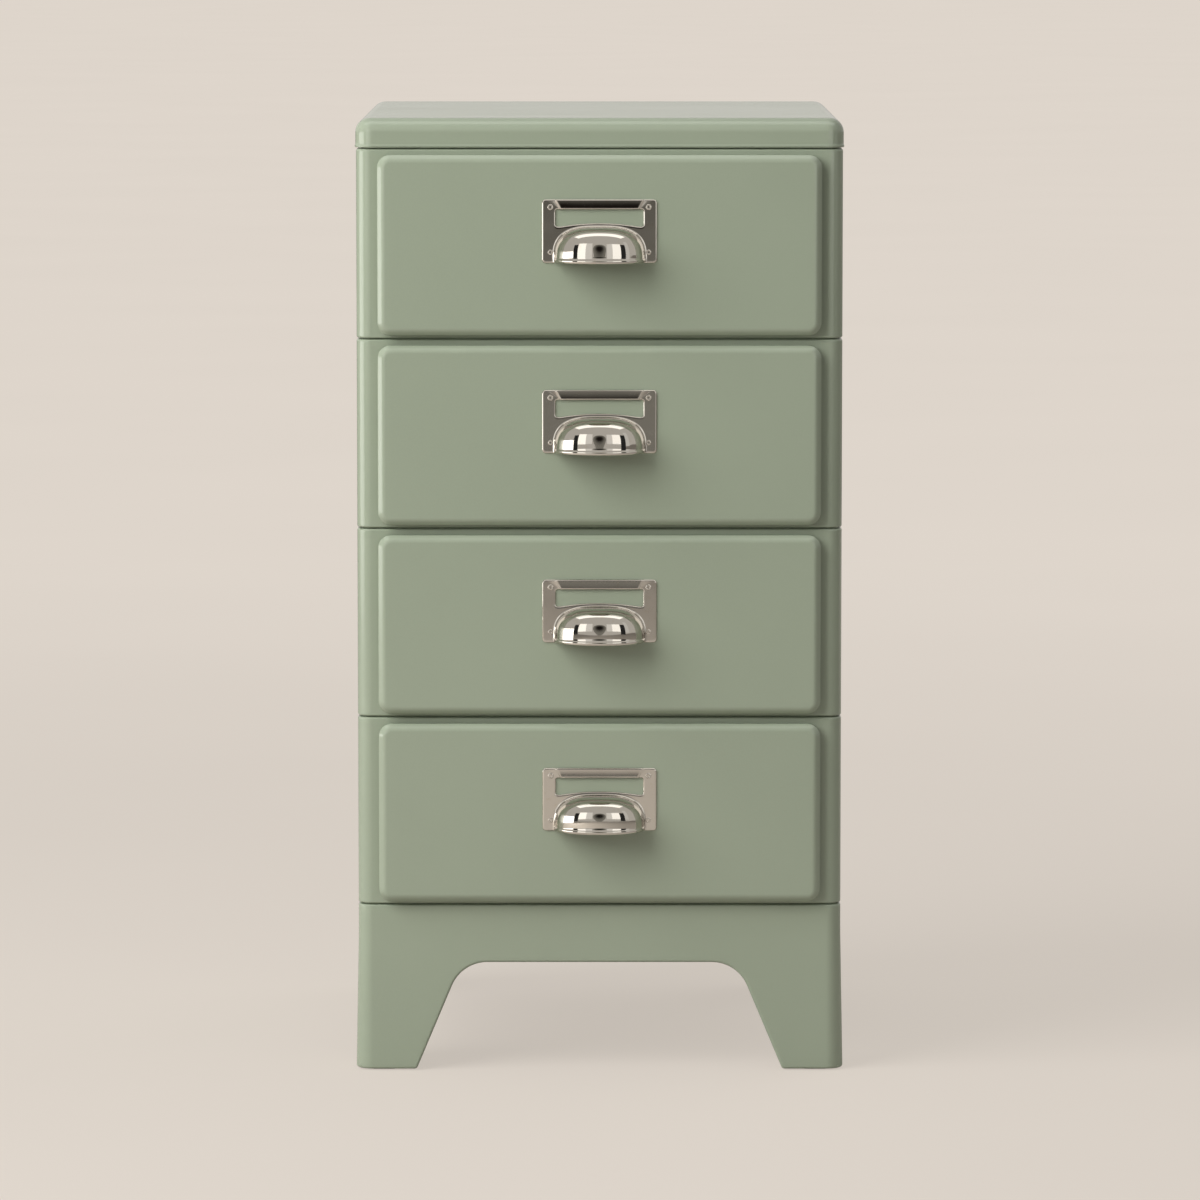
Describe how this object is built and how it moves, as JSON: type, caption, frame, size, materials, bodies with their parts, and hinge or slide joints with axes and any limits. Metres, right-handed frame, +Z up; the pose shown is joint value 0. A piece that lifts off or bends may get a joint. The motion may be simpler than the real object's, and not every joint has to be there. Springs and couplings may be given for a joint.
{
  "type": "small metal drawer cabinet",
  "caption": "Free-standing sheet steel drawer cabinet on a legged, arched base, with raised drawer fronts and cup pulls with card windows.",
  "frame": {"origin": "middle of the footprint, pulls included, on the floor", "axes": "+X to the right seen from the front, -Y towards the front where the drawers open, +Z up"},
  "size_m": [0.3428, 0.4201, 0.669],
  "materials": {
    "body_paint": "smooth sage green powder coat, semi-gloss",
    "pull_nickel": "polished nickel plate",
    "runner_zinc": "bright zinc plate",
    "shoe_nylon": "natural nylon",
    "glide_plastic": "black moulded plastic"
  },
  "bodies": {
    "carcass": {"top_lid": "body_paint", "base": "body_paint", "foot_glides": "glide_plastic", "case_1": "body_paint", "case_runner_left_1": "runner_zinc", "case_runner_right_1": "runner_zinc", "front_shoes_1": "shoe_nylon", "case_2": "body_paint", "case_runner_left_2": "runner_zinc", "case_runner_right_2": "runner_zinc", "front_shoes_2": "shoe_nylon", "case_3": "body_paint", "case_runner_left_3": "runner_zinc", "case_runner_right_3": "runner_zinc", "front_shoes_3": "shoe_nylon", "case_4": "body_paint", "case_runner_left_4": "runner_zinc", "case_runner_right_4": "runner_zinc", "front_shoes_4": "shoe_nylon"},
    "drawer_1": {"drawer_front_1": "body_paint", "drawer_tray_1": "body_paint", "drawer_slide_left_1": "runner_zinc", "drawer_slide_right_1": "runner_zinc", "rear_shoes_1": "shoe_nylon", "pull_plate_1": "pull_nickel", "pull_cup_1": "pull_nickel"},
    "drawer_2": {"drawer_front_2": "body_paint", "drawer_tray_2": "body_paint", "drawer_slide_left_2": "runner_zinc", "drawer_slide_right_2": "runner_zinc", "rear_shoes_2": "shoe_nylon", "pull_plate_2": "pull_nickel", "pull_cup_2": "pull_nickel"},
    "drawer_3": {"drawer_front_3": "body_paint", "drawer_tray_3": "body_paint", "drawer_slide_left_3": "runner_zinc", "drawer_slide_right_3": "runner_zinc", "rear_shoes_3": "shoe_nylon", "pull_plate_3": "pull_nickel", "pull_cup_3": "pull_nickel"},
    "drawer_4": {"drawer_front_4": "body_paint", "drawer_tray_4": "body_paint", "drawer_slide_left_4": "runner_zinc", "drawer_slide_right_4": "runner_zinc", "rear_shoes_4": "shoe_nylon", "pull_plate_4": "pull_nickel", "pull_cup_4": "pull_nickel"}
  },
  "joints": [
    {"name": "drawer_1_slide", "type": "slide", "parent": "carcass", "child": "drawer_1", "axis": [0, -1, 0], "range_m": [0, 0.265]},
    {"name": "drawer_2_slide", "type": "slide", "parent": "carcass", "child": "drawer_2", "axis": [0, -1, 0], "range_m": [0, 0.265]},
    {"name": "drawer_3_slide", "type": "slide", "parent": "carcass", "child": "drawer_3", "axis": [0, -1, 0], "range_m": [0, 0.265]},
    {"name": "drawer_4_slide", "type": "slide", "parent": "carcass", "child": "drawer_4", "axis": [0, -1, 0], "range_m": [0, 0.265]}
  ]
}
